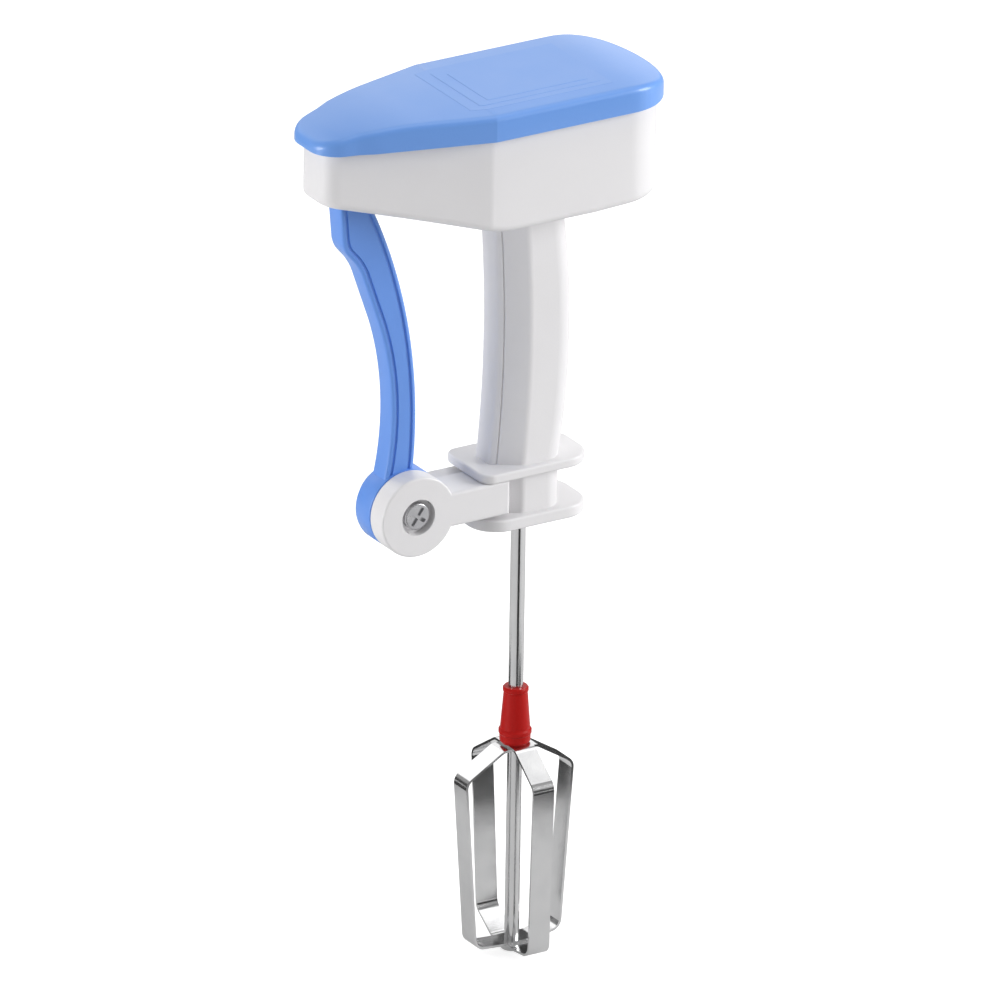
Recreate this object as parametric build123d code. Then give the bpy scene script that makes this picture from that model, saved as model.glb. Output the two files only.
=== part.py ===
from build123d import *
import os
from math import acos, ceil, cos, degrees, floor, pi, radians, sin, sqrt, tan

os.makedirs("parts", exist_ok=True)

# A hand blender driven by a squeeze lever.  Millimetres.
# The origin is on the whisk shaft's axis, half-way up the grip.  +Z runs up the
# shaft to the lid, and the squeeze lever is on the -X side.

# ---------------------------------------------------------------- heights
GRIP_BOTTOM_Z = -50.0       # top of the bracket's upper flange
HANDLE_LENGTH = 96.8
CASE_DEPTH = 37.2           # underside of the gear case to the lid's lower edge
LID_HEIGHT = 9.5
NOSE_RISE = 16.6            # how much higher the case's underside is at its nose
FLOOR_Z = GRIP_BOTTOM_Z + HANDLE_LENGTH
RIM_Z = FLOOR_Z + CASE_DEPTH
LID_TOP_Z = RIM_Z + LID_HEIGHT

# ---------------------------------------------------------------- head, in plan
HEAD_HALF = 28.8            # half the lid's width
HEAD_NOSE_X = -90.5
HEAD_REAR_X = 50.2
HEAD_SHOULDER_X = -29.0     # where the straight sides turn in towards the nose
HEAD_NOSE_HALF = 12.6
HEAD_TAPER_HOLLOW = 1.1     # how far the tapering sides bow inwards
REAR_END_RADIUS = 40.0
REAR_CORNER_RADIUS = 21.0
NOSE_CORNER_RADIUS = 11.0
SHOULDER_RADIUS = 2.5
LID_OVERHANG = 3.2          # lid beyond the case, at the nose and along the sides
LID_REAR_OVERHANG = 2.2
LID_GAP = 0.2               # between the lid's skirt and the case inside it
LID_TOP_WALL = 4.8
LID_END_WALL = 1.8          # the least that the rolled ends are thinned to
LID_EDGE_RADIUS = 2.4
LID_ROLLS = ((-54.0, -36.5, 5.6), (24.0, 26.2, 3.8))  # start, run and drop of each rolled end
PANEL_MARGIN = 8.0          # flat raised panel on the lid
PANEL_HEIGHT = 0.5
CASE_WALL = 2.0
FLOOR_WALL = 2.2
CASE_EDGE_RADIUS = 3.0
CASE_SHOULDER_RADIUS = 5.0
KNEE_RADIUS = 30.0
KNEE_X = -23.0              # where the case's underside starts to climb to the nose
REAR_KNEE_X = 15.5          # behind this the underside climbs a little too
REAR_RISE = 1.6

# ---------------------------------------------------------------- handle
HANDLE_NOSE_X = -15.6
HANDLE_REAR_X = 12.6
HANDLE_HALF = 11.5
HANDLE_NOSE_HALF = 4.6
HANDLE_SHOULDER_X = -5.3
HANDLE_END_RADIUS = 24.0
HANDLE_CORNER_RADIUS = 7.5
HANDLE_WALL = 2.4
HANDLE_BOW = 2.4            # the grip bows this far to the rear at its middle
HANDLE_SWELL = 1.5          # and is this much deeper there
STRIP_DEPTH = 2.6           # separate front strip of the grip
STRIP_EDGE = 0.7

# ---------------------------------------------------------------- squeeze lever
PIVOT_X = -49.6
PIVOT_DROP = 10.0           # pivot axis below the upper flange's top
PIVOT_Z = GRIP_BOTTOM_Z - PIVOT_DROP
LEVER_SWING = 20.0          # degrees, from leaning out to leaning in
LEVER_THICK = 9.0
LEVER_DEPTH = 9.4
LEVER_TOP_DEPTH = 14.0      # across the finger stop, where the lever enters the head
LEVER_BOW = 8.4             # the blade's middle bows this far towards the grip
LEVER_FOOT_FLARE = 1.4      # the blade widens outwards by this much at its eye
STOP_HEIGHT = 101.0         # pivot to the underside of the finger stop
EYE_RADIUS = 15.0
EYE_THICK = 10.0
TONGUE_DEPTH = 9.0
TONGUE_THICK = 8.0
LEVER_SIDE_GAP = 1.0        # between the blade and the slot in the case
PIN_DIAMETER = 4.0

# ---------------------------------------------------------------- gear train
MODULE = 1.0
PRESSURE_ANGLE = 25.0
ADDENDUM = 0.8 * MODULE
DEDENDUM = 1.0 * MODULE
BACKLASH = 0.09             # taken off each tooth's thickness
RACK_PINION_TEETH = 12
TOP_WHEEL_TEETH = 42
TOP_PINION_TEETH = 27
LOW_WHEEL_TEETH = 30
OUTPUT_TEETH = 12
GEAR_FACE = 5.0
TOP_FACE = 4.0
RACK_HEIGHT = 8.5
RACK_BACK = 5.0             # solid bar behind the rack's teeth
RACK_PIN_WALL = 3.2
RACK_FORK_THICK = 3.2       # the rack is thinner where it runs into the nose
RACK_FORK_LENGTH = 12.0
RACK_PIN_PLAY = 0.2
PIN_RISE = 4.0              # drive pin above the rack's underside, lever upright
LAYER_GAP = 1.0             # between one layer of gears and the next
AXLE_DIAMETER = 4.0
RUNNING_FIT = 0.05          # radial clearance of every turning fit
SLIDE_GAP = 0.3
GEAR_END_GAP = 0.15
PLATE_THICK = 2.0

# ---------------------------------------------------------------- bracket
FLANGE_FRONT_X = -23.0
FLANGE_REAR_X = 22.6
FLANGE_HALF = 14.5
UPPER_FLANGE = 3.5
LOWER_FLANGE = 4.5
BRACKET_HEIGHT = 22.8
ARM_HEIGHT = 13.0
ARM_FAR_HALF = 2.0          # the arm's far side, where it joins the neck
ARM_END_X = -12.0           # the arm runs into the neck's nose and ends there
ARM_EDGE = 1.2
CHEEK_GAP = 0.2
NEAR_CHEEK = 8.6
FAR_CHEEK = 6.0
FAR_CHEEK_RADIUS = 10.0
PIVOT_DIAMETER = 5.0
PIVOT_HEAD_DIAMETER = 10.0
PIVOT_HEAD_HEIGHT = 2.4
PIVOT_RECESS_DIAMETER = 13.5
PIVOT_RECESS = 3.2
NUT_FLATS = 8.0
NUT_HEIGHT = 3.4
LEVER_BUSH_DIAMETER = 8.0

# ---------------------------------------------------------------- spring
SPRING_WIRE = 1.3
SPRING_RADIUS = 7.8
SPRING_TURNS = 4
SPRING_PITCH = 1.45
SPRING_POCKET_RADIUS = 10.0
SPRING_CORE_RADIUS = 6.0
SPRING_TANG = 3.0

# ---------------------------------------------------------------- whisk
SHAFT_DIAMETER = 5.3
SHAFT_BELOW_GRIP = 190.0    # grip bottom to the lower end of the shaft
COUPLER_TOP_DROP = 89.8     # grip bottom to the top of the coupler
COUPLER_LENGTH = 21.5
COUPLER_TOP_RADIUS = 4.6
COUPLER_LOW_RADIUS = 5.6
BAND_THICK = 0.9
BAND_WIDTH = 8.5
WHISK_SHOULDER_DROP = 10.6  # coupler's underside to the loops' shoulders
# The two legs of each loop: shoulder radius, foot radius, foot's height over the middle.
OUTER_LEGS = ((22.6, 17.8, 7.0), (20.4, 18.6, 1.2))
INNER_LEGS = ((22.6, 17.8, 1.6), (22.2, 17.8, 3.0))
WHISK_BEND = 4.0
WHISK_FLAT_R = 6.8          # flat middle of each loop, where the two cross
END_NUT_HEIGHT = 2.4
END_NUT_RADIUS = 4.2
BUSH_WALL = 2.2
BUSH_FLANGE = 1.6
COLLAR_RADIUS = 5.0
COLLAR_HEIGHT = 3.0

SCREW_DIAMETER = 2.6
SCREW_HEAD_DIAMETER = 5.4
SCREW_HEAD_HEIGHT = 1.8
SCREW_BITE = 9.0
BOSS_WALL = 1.8
BIG = 400.0                 # longer than anything that is cut


# ================================================================ helpers
def cylinder_z(radius, z_low, z_high, x=0.0, y=0.0):
    """A disc or rod standing on z_low and ending at z_high."""
    height = z_high - z_low
    return Pos(x, y, z_low) * Cylinder(radius, height, align=(Align.CENTER, Align.CENTER, Align.MIN))


def cylinder_y(radius, y_low, y_high, x, z):
    """A disc or rod along Y, for everything on the lever's pivot axis."""
    rod = Cylinder(radius, y_high - y_low, align=(Align.CENTER, Align.CENTER, Align.MIN))
    return Pos(x, y_low, z) * Rot(-90, 0, 0) * rod


def block(x_low, x_high, y_low, y_high, z_low, z_high):
    corner = (Align.MIN, Align.MIN, Align.MIN)
    return Pos(x_low, y_low, z_low) * Box(x_high - x_low, y_high - y_low, z_high - z_low, align=corner)


def prism(face, z_low, z_high):
    """A plan outline raised from z_low to z_high."""
    return Pos(0, 0, z_low) * extrude(face, z_high - z_low)


def prism_y(points, y_low, y_high):
    """A closed outline of (x, z) points, given a width along Y."""
    outline = make_face(Polyline([(x, 0, z) for x, z in points], close=True))
    return Pos(0, y_low, 0) * extrude(outline, y_high - y_low, dir=(0, 1, 0))


def corners_near(face, x, y_size, reach=0.05):
    return [v for v in face.vertices() if abs(v.X - x) < reach and abs(abs(v.Y) - y_size) < reach]


def pear_plan(nose_x, nose_half, shoulder_x, half, rear_x, end_radius, radii, hollow=0.0):
    """The outline shared by head and grip: a narrow nose, parallel sides, a bowed rear."""
    nose_radius, shoulder_radius, rear_radius = radii
    end_x = rear_x - end_radius + sqrt(end_radius**2 - half**2)
    middle = ((nose_x + shoulder_x) / 2, (nose_half + half) / 2 - hollow)
    edges = [
        Line((nose_x, -nose_half), (nose_x, nose_half)),
        Line((shoulder_x, half), (end_x, half)),
        ThreePointArc((end_x, half), (rear_x, 0), (end_x, -half)),
        Line((end_x, -half), (shoulder_x, -half)),
    ]
    if hollow:
        edges.insert(1, ThreePointArc((nose_x, nose_half), middle, (shoulder_x, half)))
        lower = ((shoulder_x, -half), (middle[0], -middle[1]), (nose_x, -nose_half))
        edges.append(ThreePointArc(*lower))
    else:
        edges.insert(1, Line((nose_x, nose_half), (shoulder_x, half)))
        edges.append(Line((shoulder_x, -half), (nose_x, -nose_half)))
    plan = make_face(edges)
    plan = fillet(corners_near(plan, nose_x, nose_half), nose_radius)
    plan = fillet(corners_near(plan, shoulder_x, half), shoulder_radius)
    return fillet(corners_near(plan, end_x, half), rear_radius)


def taper_angle():
    """Angle between the head's tapering sides and its middle plane, in radians."""
    run = HEAD_SHOULDER_X - HEAD_NOSE_X
    rise = HEAD_HALF - HEAD_NOSE_HALF
    return acos(run / sqrt(run**2 + rise**2))


def head_plan(inset, shoulder_radius=SHOULDER_RADIUS, rear_gain=0.0):
    """The lid's outline, drawn in by an even margin, less rear_gain at its rear end."""
    slant = tan(taper_angle() / 2)
    radii = (NOSE_CORNER_RADIUS - inset, shoulder_radius, REAR_CORNER_RADIUS - inset)
    return pear_plan(
        HEAD_NOSE_X + inset,
        HEAD_NOSE_HALF - inset * (1 - slant),
        HEAD_SHOULDER_X + inset * slant,
        HEAD_HALF - inset,
        HEAD_REAR_X - inset + rear_gain,
        REAR_END_RADIUS - inset,
        radii,
        HEAD_TAPER_HOLLOW,
    )


def screw_z(x, y, head_z, length, up=1):
    """A pan screw; its head starts at head_z and its shank runs the other way."""
    head = cylinder_z(SCREW_HEAD_DIAMETER / 2, 0, SCREW_HEAD_HEIGHT)
    slot = block(-BIG, BIG, -0.4, 0.4, SCREW_HEAD_HEIGHT * 0.6, BIG)
    shank = cylinder_z(SCREW_DIAMETER / 2, -length, 0)
    solid = (head + shank) - slot
    return Pos(x, y, head_z) * Rot(0 if up > 0 else 180, 0, 0) * solid


def save(shape, name):
    shape.label = name
    export_step(shape, f"parts/{name}.step")


# ================================================================ gear geometry
def involute(angle):
    return tan(angle) - angle


def gear_face(teeth, tooth_at):
    """A spur gear's outline about the origin, with one tooth centred at tooth_at degrees."""
    pitch_radius = MODULE * teeth / 2
    base_radius = pitch_radius * cos(radians(PRESSURE_ANGLE))
    root_radius = pitch_radius - DEDENDUM
    tip_radius = pitch_radius + ADDENDUM
    half_pitch_angle = pi / (2 * teeth) - BACKLASH / (2 * pitch_radius)
    start = max(base_radius, root_radius)
    flank_radii = [start + (tip_radius - start) * step / 3 for step in range(4)]

    def half_angle(radius):
        roll = acos(min(1.0, base_radius / radius))
        return half_pitch_angle + involute(radians(PRESSURE_ANGLE)) - involute(roll)

    flank = [(root_radius, half_angle(start))] + [(r, half_angle(r)) for r in flank_radii]
    points = []
    for tooth in range(teeth):
        middle = radians(tooth_at) + 2 * pi * tooth / teeth
        for radius, half in flank:
            points.append((radius * cos(middle - half), radius * sin(middle - half)))
        for radius, half in reversed(flank):
            points.append((radius * cos(middle + half), radius * sin(middle + half)))
    def apart(a, b):
        return abs(a[0] - b[0]) + abs(a[1] - b[1]) > 1e-6

    outline = [p for index, p in enumerate(points) if apart(p, points[index - 1])]
    return make_face(Polyline(outline, close=True))


def space_at(teeth, angle):
    """The tooth_at value that puts a gap between two teeth at this angle."""
    return angle + 180.0 / teeth


LOW_AXLE_X = MODULE * (OUTPUT_TEETH + LOW_WHEEL_TEETH) / 2
TOP_AXLE_X = LOW_AXLE_X - MODULE * (TOP_WHEEL_TEETH + TOP_PINION_TEETH) / 2
RACK_PITCH_Y = MODULE * RACK_PINION_TEETH / 2
RACK_FRONT_Y = RACK_PITCH_Y - ADDENDUM
RACK_ROOT_Y = RACK_PITCH_Y + DEDENDUM
RACK_BACK_Y = RACK_ROOT_Y + RACK_BACK

CASE_NOSE_X = HEAD_NOSE_X + LID_OVERHANG
FLOOR_SLOPE = NOSE_RISE / (KNEE_X - CASE_NOSE_X)
FLOOR_TOP_Z = FLOOR_Z + FLOOR_WALL
LOW_GEAR_Z = FLOOR_TOP_Z + SCREW_HEAD_HEIGHT + 2.8
RACK_Z = LOW_GEAR_Z + GEAR_FACE + 6.0
TOP_GEAR_Z = RACK_Z + RACK_HEIGHT + LAYER_GAP
PLATE_Z = TOP_GEAR_Z + TOP_FACE + LAYER_GAP
CASE_TOP_Z = LID_TOP_Z - LID_TOP_WALL

LEVER_LEAN = LEVER_SWING / 2
DRIVE_RADIUS = RACK_Z + PIN_RISE - PIVOT_Z
RACK_TRAVEL = 2 * DRIVE_RADIUS * sin(radians(LEVER_LEAN))
PIN_X = PIVOT_X - DRIVE_RADIUS * sin(radians(LEVER_LEAN))
PIN_Z = PIVOT_Z + DRIVE_RADIUS * cos(radians(LEVER_LEAN))


# ================================================================ lid
REAR_GAIN = LID_OVERHANG - LID_REAR_OVERHANG


def above_rolls(lowered):
    """The space over the lid's two rolled ends, brought down by this much."""
    space = Part()
    for start, run, drop in LID_ROLLS:
        radius = (run**2 + drop**2) / (2 * drop)
        x_low, x_high = min(start, start + 2 * run), max(start, start + 2 * run)
        over = block(x_low, x_high, -BIG, BIG, RIM_Z - lowered, BIG)
        space += over - cylinder_y(radius, -BIG, BIG, start, LID_TOP_Z - lowered - radius)
    return space


def make_lid():
    solid = prism(head_plan(0), RIM_Z, LID_TOP_Z) - above_rolls(0)
    tops = [f for f in solid.faces() if f.normal_at().Z > 0.5]
    loops = [e for f in tops for e in f.edges()]
    solid = fillet([e for e in loops if loops.count(e) == 1], LID_EDGE_RADIUS)
    panel = prism(head_plan(PANEL_MARGIN), LID_TOP_Z - PANEL_HEIGHT, LID_TOP_Z + PANEL_HEIGHT)
    panel &= block(LID_ROLLS[0][0], LID_ROLLS[1][0], -BIG, BIG, RIM_Z, BIG)
    plan = head_plan(LID_OVERHANG - LID_GAP, rear_gain=REAR_GAIN)
    cavity = prism(plan, RIM_Z - 1, CASE_TOP_Z) - above_rolls(LID_END_WALL)
    return (solid + panel) - cavity


# ================================================================ gear case
PLATE_POSTS = [(-34.0, 17.0), (-34.0, -17.0), (9.0, 18.4), (9.0, -18.4)]
POST_RADIUS = SCREW_DIAMETER / 2 + BOSS_WALL
CASE_SCREWS = [(-7.6, 6.2), (-7.6, -6.2), (7.4, 6.6), (7.4, -6.6)]
SLOT_FRONT_X = PIVOT_X - (DRIVE_RADIUS * sin(radians(LEVER_LEAN)) + LEVER_TOP_DEPTH / 2 + 1.8)
SLOT_REAR_X = PIVOT_X + (DRIVE_RADIUS - 8) * sin(radians(LEVER_LEAN)) + LEVER_TOP_DEPTH / 2 + 1.0
LEDGE_FRONT_X = -46.0
LEDGE_REAR_X = 2.0


def below_floor(raise_by):
    """Everything under the case's underside, lifted by raise_by."""
    level = FLOOR_Z + raise_by
    rear_slope = REAR_RISE / (HEAD_REAR_X - REAR_KNEE_X)
    outline = [
        (-BIG, -BIG),
        (BIG, -BIG),
        (BIG, level + rear_slope * (BIG - REAR_KNEE_X)),
        (REAR_KNEE_X, level),
        (KNEE_X, level),
        (-BIG, level + FLOOR_SLOPE * (KNEE_X + BIG)),
    ]
    return prism_y(outline, -BIG, BIG)


def make_gear_case():
    outer = prism(head_plan(LID_OVERHANG, CASE_SHOULDER_RADIUS, REAR_GAIN), FLOOR_Z - 1, CASE_TOP_Z)
    outer -= below_floor(0)
    knee = [e for e in outer.edges() if abs(e.center().X - KNEE_X) + abs(e.center().Y) < 0.1]
    outer = fillet(knee, KNEE_RADIUS)
    under = [f for f in outer.faces() if f.normal_at().Z < -0.5]
    loops = [e for f in under for e in f.edges()]
    outer = fillet([e for e in loops if loops.count(e) == 1], CASE_EDGE_RADIUS)
    inner_plan = head_plan(LID_OVERHANG + CASE_WALL, rear_gain=REAR_GAIN)
    case = outer - (prism(inner_plan, FLOOR_Z - 1, BIG) - below_floor(FLOOR_WALL))

    posts = Part() + [
        cylinder_z(POST_RADIUS, FLOOR_Z + 1, PLATE_Z, x, y) for x, y in PLATE_POSTS
    ]
    posts += cylinder_z(AXLE_DIAMETER / 2 + 2, FLOOR_Z + 1, RACK_Z - GEAR_END_GAP, TOP_AXLE_X)
    posts += cylinder_z(AXLE_DIAMETER / 2 + 2, FLOOR_Z + 1, LOW_GEAR_Z - GEAR_END_GAP, LOW_AXLE_X)
    ledge_top = RACK_Z - SLIDE_GAP
    ledge = block(LEDGE_FRONT_X, LEDGE_REAR_X, RACK_ROOT_Y + 0.6, HEAD_HALF, ledge_top - 2, ledge_top)
    ledge += block(
        LEDGE_FRONT_X, LEDGE_REAR_X, RACK_BACK_Y + SLIDE_GAP, RACK_BACK_Y + SLIDE_GAP + 1.6,
        ledge_top - 2, ledge_top + 5,
    )
    case += (posts + ledge) & outer

    slot = block(
        SLOT_FRONT_X, SLOT_REAR_X,
        -LEVER_THICK / 2 - LEVER_SIDE_GAP, LEVER_THICK / 2 + LEVER_SIDE_GAP,
        FLOOR_Z - 5, RACK_Z - 1,
    )
    case -= slot
    case -= cylinder_z(SHAFT_DIAMETER / 2 + BUSH_WALL, FLOOR_Z - 5, LOW_GEAR_Z)
    for x in (TOP_AXLE_X, LOW_AXLE_X):
        case -= cylinder_z(AXLE_DIAMETER / 2, FLOOR_Z + 1.5, BIG, x)
    for x, y in PLATE_POSTS:
        case -= cylinder_z(SCREW_DIAMETER / 2, PLATE_Z - SCREW_BITE, BIG, x, y)
    for x, y in CASE_SCREWS:
        case -= cylinder_z(SCREW_DIAMETER / 2, FLOOR_Z - 5, FLOOR_TOP_Z + 5, x, y)
    return case - above_rolls(LID_END_WALL)


def make_gear_plate():
    """Flat plate that holds the upper ends of both gear axles."""
    front, back = PLATE_POSTS[0], PLATE_POSTS[2]
    edge = POST_RADIUS
    half = [
        (front[0] - edge, front[1] - 4),
        (front[0], front[1] + edge),
        (back[0] + edge, back[1] + edge),
        (LOW_AXLE_X + AXLE_DIAMETER * 1.6, AXLE_DIAMETER * 1.6),
    ]
    outline = half + [(x, -y) for x, y in reversed(half)]
    plate = prism(make_face(Polyline(outline, close=True)), PLATE_Z, PLATE_Z + PLATE_THICK)
    plate = fillet(plate.edges().filter_by(Axis.Z), 2.0)
    for x in (TOP_AXLE_X, LOW_AXLE_X):
        plate -= cylinder_z(AXLE_DIAMETER / 2, PLATE_Z - 1, BIG, x)
    for x, y in PLATE_POSTS:
        plate -= cylinder_z(SCREW_DIAMETER / 2, PLATE_Z - 1, BIG, x, y)
    plate -= cylinder_z(SHAFT_DIAMETER, PLATE_Z - 1, BIG)
    return plate


def make_axle(x):
    return cylinder_z(AXLE_DIAMETER / 2, FLOOR_Z + 1.5, PLATE_Z + PLATE_THICK, x)


# ================================================================ gears
def make_rack():
    """Toothed bar that the lever's pin pushes to and fro beside the shaft."""
    pitch = pi * MODULE
    front = PIN_X - PIN_DIAMETER / 2 - RACK_PIN_PLAY - RACK_PIN_WALL
    teeth_start = TOP_AXLE_X - RACK_TRAVEL - 1.5 * pitch
    back = TOP_AXLE_X + 1.5 * pitch
    half_pitch = (pitch / 2 - BACKLASH) / 2
    half_tip = half_pitch - ADDENDUM * tan(radians(PRESSURE_ANGLE))
    half_root = half_pitch + DEDENDUM * tan(radians(PRESSURE_ANGLE))
    step = PIN_X + RACK_FORK_LENGTH
    fork_y = RACK_FRONT_Y + RACK_FORK_THICK
    bar = make_face(Polyline([
        (front, RACK_FRONT_Y), (front, fork_y), (step - 2, fork_y), (step, RACK_BACK_Y),
        (back, RACK_BACK_Y), (back, RACK_ROOT_Y), (teeth_start, RACK_ROOT_Y),
        (teeth_start, RACK_FRONT_Y),
    ], close=True))
    first = ceil((teeth_start - TOP_AXLE_X) / pitch)
    for index in range(first, floor((back - TOP_AXLE_X) / pitch)):
        middle = TOP_AXLE_X + (index + 0.5) * pitch
        bar += make_face(Polyline([
            (middle - half_root, RACK_ROOT_Y + 0.2), (middle - half_root, RACK_ROOT_Y),
            (middle - half_tip, RACK_FRONT_Y), (middle + half_tip, RACK_FRONT_Y),
            (middle + half_root, RACK_ROOT_Y), (middle + half_root, RACK_ROOT_Y + 0.2),
        ], close=True))
    rack = prism(bar, RACK_Z, RACK_Z + RACK_HEIGHT)
    half_slot = PIN_DIAMETER / 2 + RACK_PIN_PLAY
    slot_top = RACK_Z + PIN_RISE + PIN_DIAMETER / 2 + SLIDE_GAP
    rack -= block(PIN_X - half_slot, PIN_X + half_slot, -BIG, BIG, RACK_Z - 1, slot_top)
    return rack


def make_top_gear():
    """Rack pinion and large wheel, moulded in one."""
    pinion = prism(gear_face(RACK_PINION_TEETH, 90), RACK_Z, TOP_GEAR_Z)
    wheel = prism(gear_face(TOP_WHEEL_TEETH, 0), TOP_GEAR_Z, TOP_GEAR_Z + TOP_FACE)
    web_out = MODULE * TOP_WHEEL_TEETH / 2 - 4
    for z_low in (TOP_GEAR_Z - 1, TOP_GEAR_Z + TOP_FACE - 1):
        hub = cylinder_z(AXLE_DIAMETER + 3.5, z_low, z_low + 2)
        wheel -= cylinder_z(web_out, z_low, z_low + 2) - hub
    gear = pinion + wheel - cylinder_z(AXLE_DIAMETER / 2 + RUNNING_FIT, -BIG, BIG)
    gear += cylinder_z(AXLE_DIAMETER / 2 + 1.5, TOP_GEAR_Z, PLATE_Z - GEAR_END_GAP)
    gear -= cylinder_z(AXLE_DIAMETER / 2 + RUNNING_FIT, RACK_Z - 1, PLATE_Z)
    return Pos(TOP_AXLE_X, 0, 0) * gear


def make_low_gear():
    """Low wheel, sleeve and upper pinion, moulded in one."""
    wheel_face = gear_face(LOW_WHEEL_TEETH, space_at(LOW_WHEEL_TEETH, 180))
    wheel = prism(wheel_face, LOW_GEAR_Z, LOW_GEAR_Z + GEAR_FACE)
    pinion_tooth = space_at(TOP_PINION_TEETH, 180)
    pinion = prism(gear_face(TOP_PINION_TEETH, pinion_tooth), TOP_GEAR_Z, TOP_GEAR_Z + TOP_FACE)
    sleeve_radius = RACK_FRONT_Y - 0.9
    sleeve = cylinder_z(sleeve_radius, LOW_GEAR_Z, PLATE_Z - GEAR_END_GAP)
    bore = cylinder_z(AXLE_DIAMETER / 2 + RUNNING_FIT, LOW_GEAR_Z - 1, PLATE_Z)
    return Pos(LOW_AXLE_X, 0, 0) * (wheel + pinion + sleeve - bore)


# ================================================================ shaft and its bearings
BUSH_RADIUS = SHAFT_DIAMETER / 2 + BUSH_WALL
SHAFT_LOW_Z = GRIP_BOTTOM_Z - SHAFT_BELOW_GRIP
CLIP_Z = LOW_GEAR_Z + GEAR_FACE + GEAR_END_GAP
SHAFT_TOP_Z = CLIP_Z + 2.5
FLAT_X = SHAFT_DIAMETER / 2 - 0.8
CLIP_THICK = 0.8
GROOVE_DEPTH = 0.5


def make_shaft():
    shaft = cylinder_z(SHAFT_DIAMETER / 2, SHAFT_LOW_Z, SHAFT_TOP_Z)
    shaft -= block(FLAT_X, BIG, -BIG, BIG, LOW_GEAR_Z, BIG)
    groove = cylinder_z(SHAFT_DIAMETER, CLIP_Z, CLIP_Z + CLIP_THICK)
    groove -= cylinder_z(SHAFT_DIAMETER / 2 - GROOVE_DEPTH, CLIP_Z - 1, CLIP_Z + CLIP_THICK + 1)
    return chamfer((shaft - groove).faces().sort_by(Axis.Z)[-1].edges(), 0.3)


def make_output_pinion():
    pinion = prism(gear_face(OUTPUT_TEETH, 0), LOW_GEAR_Z, LOW_GEAR_Z + GEAR_FACE)
    bore = cylinder_z(SHAFT_DIAMETER / 2 + 0.02, LOW_GEAR_Z - 1, LOW_GEAR_Z + GEAR_FACE + 1)
    return pinion - (bore - block(FLAT_X + 0.02, BIG, -BIG, BIG, LOW_GEAR_Z - 2, BIG))


def make_clip():
    """E-clip in the shaft's groove, open towards +X."""
    clip = cylinder_z(SHAFT_DIAMETER / 2 + 1.5, CLIP_Z, CLIP_Z + CLIP_THICK)
    clip -= cylinder_z(SHAFT_DIAMETER / 2 - GROOVE_DEPTH, CLIP_Z - 1, CLIP_Z + 2)
    mouth = SHAFT_DIAMETER / 2 - GROOVE_DEPTH - 0.3
    return clip - block(0, BIG, -mouth, mouth, CLIP_Z - 1, CLIP_Z + 2)


def make_upper_bush():
    """Flanged bush pressed into the case's floor; its flange is on top."""
    bush = cylinder_z(BUSH_RADIUS, FLOOR_Z, FLOOR_TOP_Z + BUSH_FLANGE)
    bush += cylinder_z(BUSH_RADIUS + 1.5, FLOOR_TOP_Z, FLOOR_TOP_Z + BUSH_FLANGE)
    return bush - cylinder_z(SHAFT_DIAMETER / 2 + RUNNING_FIT, FLOOR_Z - 1, LOW_GEAR_Z)


def make_lower_bush():
    low_z = GRIP_BOTTOM_Z - BRACKET_HEIGHT
    bush = cylinder_z(BUSH_RADIUS, low_z, low_z + 9)
    return bush - cylinder_z(SHAFT_DIAMETER / 2 + RUNNING_FIT, low_z - 1, low_z + 10)


def make_collar():
    """Ring on the shaft under the upper bush, with its grub screw's hole."""
    top = FLOOR_Z - GEAR_END_GAP
    collar = cylinder_z(COLLAR_RADIUS, top - COLLAR_HEIGHT, top)
    collar -= cylinder_z(SHAFT_DIAMETER / 2, top - COLLAR_HEIGHT - 1, top + 1)
    hole = Pos(0, 0, top - COLLAR_HEIGHT / 2) * Rot(0, 90, 0) * Cylinder(0.7, BIG)
    return collar - (hole & block(0, BIG, -BIG, BIG, -BIG, BIG))


# ================================================================ handle
HANDLE_RADII = (2.0, 3.5, HANDLE_CORNER_RADIUS)
GRIP_MIDDLE_Z = (GRIP_BOTTOM_Z + FLOOR_Z) / 2


def handle_plan(inset, swell=0.0):
    nose_radius, shoulder_radius, rear_radius = HANDLE_RADII
    return pear_plan(
        HANDLE_NOSE_X + inset,
        HANDLE_NOSE_HALF - inset * 0.6,
        HANDLE_SHOULDER_X + inset * 0.3,
        HANDLE_HALF - inset,
        HANDLE_REAR_X - inset + swell,
        HANDLE_END_RADIUS - inset,
        (max(nose_radius - inset, 0.5), max(shoulder_radius - inset, 0.8), rear_radius - inset),
    )


def bowed(inset):
    """The grip's outline carried up a gentle arc, so that it bows and swells to the rear."""
    sections = []
    for share in (0.0, 0.33, 0.67, 1.0):
        bulge = 4 * share * (1 - share)
        plan = handle_plan(inset, HANDLE_SWELL * bulge)
        sections.append(Pos(HANDLE_BOW * bulge, 0, GRIP_BOTTOM_Z + HANDLE_LENGTH * share) * plan)
    return loft(sections)


def front_of_grip(clear):
    """The space that the front strip fills; its rear side bows with the grip."""
    edge_x = HANDLE_NOSE_X + STRIP_DEPTH + clear
    low, high = (edge_x, 0, GRIP_BOTTOM_Z - 0.01), (edge_x, 0, FLOOR_Z + 0.01)
    seam = ThreePointArc(low, (edge_x + HANDLE_BOW, 0, GRIP_MIDDLE_Z), high)
    front = Polyline(high, (-BIG, 0, high[2]), (-BIG, 0, low[2]), low)
    return extrude(make_face([seam, *front.edges()]), BIG, dir=(0, 1, 0), both=True)


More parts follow.
